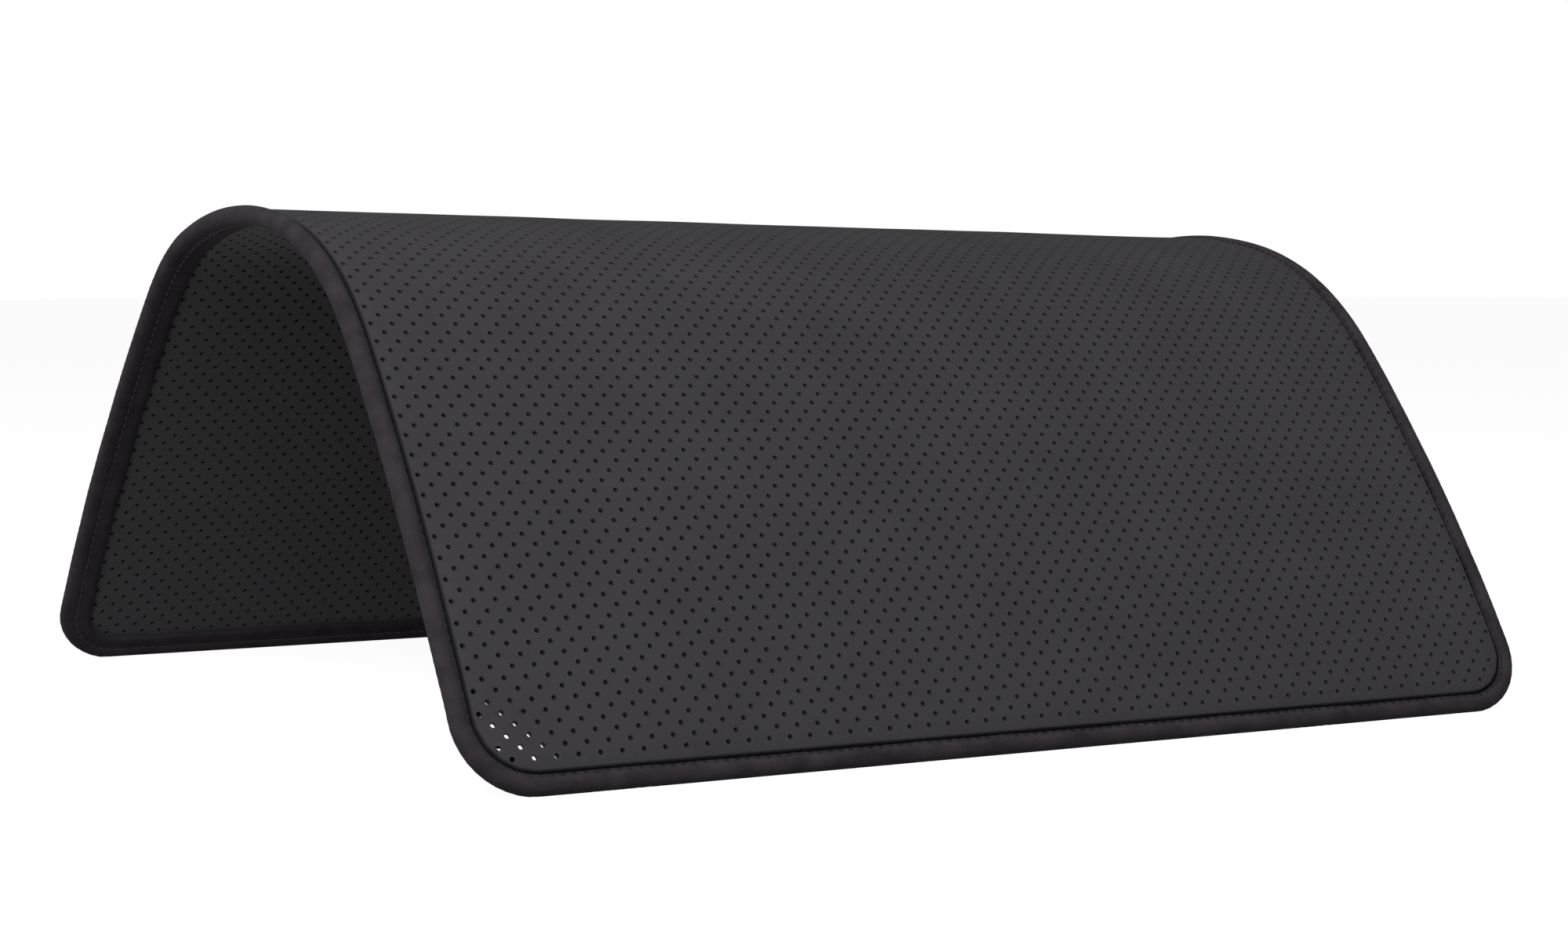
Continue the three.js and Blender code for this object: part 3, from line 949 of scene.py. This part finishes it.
pieces = (
    (punched_sheet, "perforated_pad", "sponge_rubber"),
    (binding_tape, "edge_binding", "binding_tape"),
    (threads["needle_stitches"], "seam_thread_outer", "seam_thread"),
    (threads["bobbin_stitches"], "seam_thread_inner", "seam_thread"),
)
for piece, node, slot in pieces:
    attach(piece, "root")
    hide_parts(node)

# %% [markdown]
# ## Floor, world and light
#
# The photograph has a pure white background. The floor and the world are white only where the
# camera sees them, through Light Path, and grey for the light that they give, so that the inside of
# the arch stays as dark as it is. A little of the floor's own shading is left in, which keeps a soft
# shadow under the pad. A broad lamp at the left front gives the plain studio light.


# %% Floor and world
FLOOR_REACH = 30.0
FLOOR_GLOW = 0.94
WORLD_LIGHT = 0.12


def white_floor():
    """A floor that the camera sees as white with a faint shadow, and that reflects like grey card."""
    material = bpy.data.materials.new("white_studio_floor")
    material.use_nodes = True
    tree = material.node_tree
    tree.nodes.clear()
    rays = add(tree, "ShaderNodeLightPath")
    seen = add(tree, "ShaderNodeMath", {
        0: rays.outputs["Is Camera Ray"], 1: rays.outputs["Is Glossy Ray"],
    }, operation="MAXIMUM")
    seen = add(tree, "ShaderNodeMath", {
        0: seen, 1: rays.outputs["Is Transmission Ray"],
    }, operation="MAXIMUM")
    card = add(tree, "ShaderNodeBsdfDiffuse", {"Color": linear("#787878")})
    white = add(tree, "ShaderNodeEmission", {"Color": (1, 1, 1, 1), "Strength": FLOOR_GLOW})
    both = add(tree, "ShaderNodeAddShader", {0: card, 1: white})
    shown = add(tree, "ShaderNodeMixShader", {0: seen, 1: card, 2: both})
    add(tree, "ShaderNodeOutputMaterial", {"Surface": shown})
    return material


floor_mesh = bpy.data.meshes.new("studio_floor")
corners = [(-1, -1), (1, -1), (1, 1), (-1, 1)]
floor_mesh.from_pydata([(x * FLOOR_REACH, y * FLOOR_REACH, 0) for x, y in corners], [], [(0, 1, 2, 3)])
floor_mesh.materials.append(white_floor())
floor = new_object("studio_floor", floor_mesh)

world = bpy.data.worlds.new("white_studio")
world.use_nodes = True
bpy.context.scene.world = world
world_tree = world.node_tree
world_tree.nodes.clear()
rays = add(world_tree, "ShaderNodeLightPath")
dim = add(world_tree, "ShaderNodeBackground", {"Color": (1, 1, 1, 1), "Strength": WORLD_LIGHT})
white = add(world_tree, "ShaderNodeBackground", {"Color": (1, 1, 1, 1), "Strength": 1.0})
shown = add(world_tree, "ShaderNodeMixShader", {0: rays.outputs["Is Camera Ray"], 1: dim, 2: white})
add(world_tree, "ShaderNodeOutputWorld", {"Surface": shown})


# %% Lamps
def add_lamp(name, place, target, size, power):
    """A square area lamp at a place, facing a target."""
    data = bpy.data.lights.new(name, "AREA")
    data.size = size
    data.energy = power
    lamp = new_object(name, data)
    lamp.location = place
    lamp.rotation_euler = (Vector(target) - Vector(place)).to_track_quat("-Z", "Y").to_euler()
    return lamp


pad_middle = (cad_low + cad_high) / 2
add_lamp("broad_lamp_left_front", (-1.35, -1.75, 1.45), pad_middle, 1.8, 39)
add_lamp("top_lamp", (-0.2, -0.3, 2.4), pad_middle, 2.0, 14)
add_lamp("left_fill_lamp", (-1.7, 0.6, 0.9), pad_middle, 1.2, 9)

# %% [markdown]
# ## Finishing
#
# The view transform is Standard, so that a colour comes out as it was mixed.

# %% Finish
bpy.context.scene.view_settings.view_transform = "Standard"
